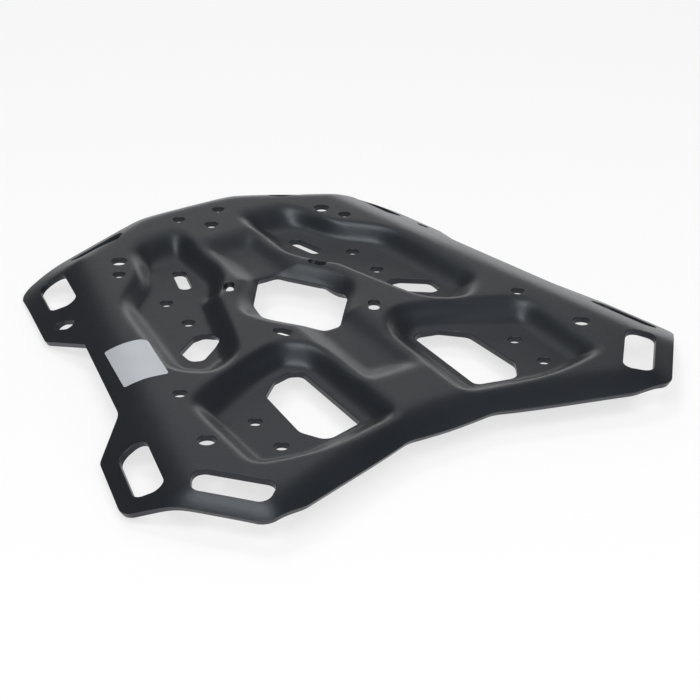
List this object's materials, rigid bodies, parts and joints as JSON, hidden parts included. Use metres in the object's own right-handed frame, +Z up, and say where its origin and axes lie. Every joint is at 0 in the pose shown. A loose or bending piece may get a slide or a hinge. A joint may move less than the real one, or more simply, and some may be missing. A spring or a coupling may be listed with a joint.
{
  "type": "motorcycle luggage rack",
  "caption": "Pressed sheet-metal luggage rack plate for a motorcycle tail, with strap windows in its ears, sunk pockets, a centre opening and bolt holes.",
  "frame": {"origin": "on the ground, under the middle of the plate's outline", "axes": "+X across the motorcycle, +Y towards its front, +Z up, out of the top land; the plate without its sticker is the same on both sides of X = 0"},
  "size_m": [0.3784, 0.3511, 0.0262],
  "materials": {
    "powder_coat": "satin black powder coat with a fine texture, on aluminium sheet",
    "label_foil": "blank silver foil sticker, satin"
  },
  "bodies": {
    "root": {"rack_plate": "powder_coat", "blank_label": "label_foil"}
  },
  "joints": []
}
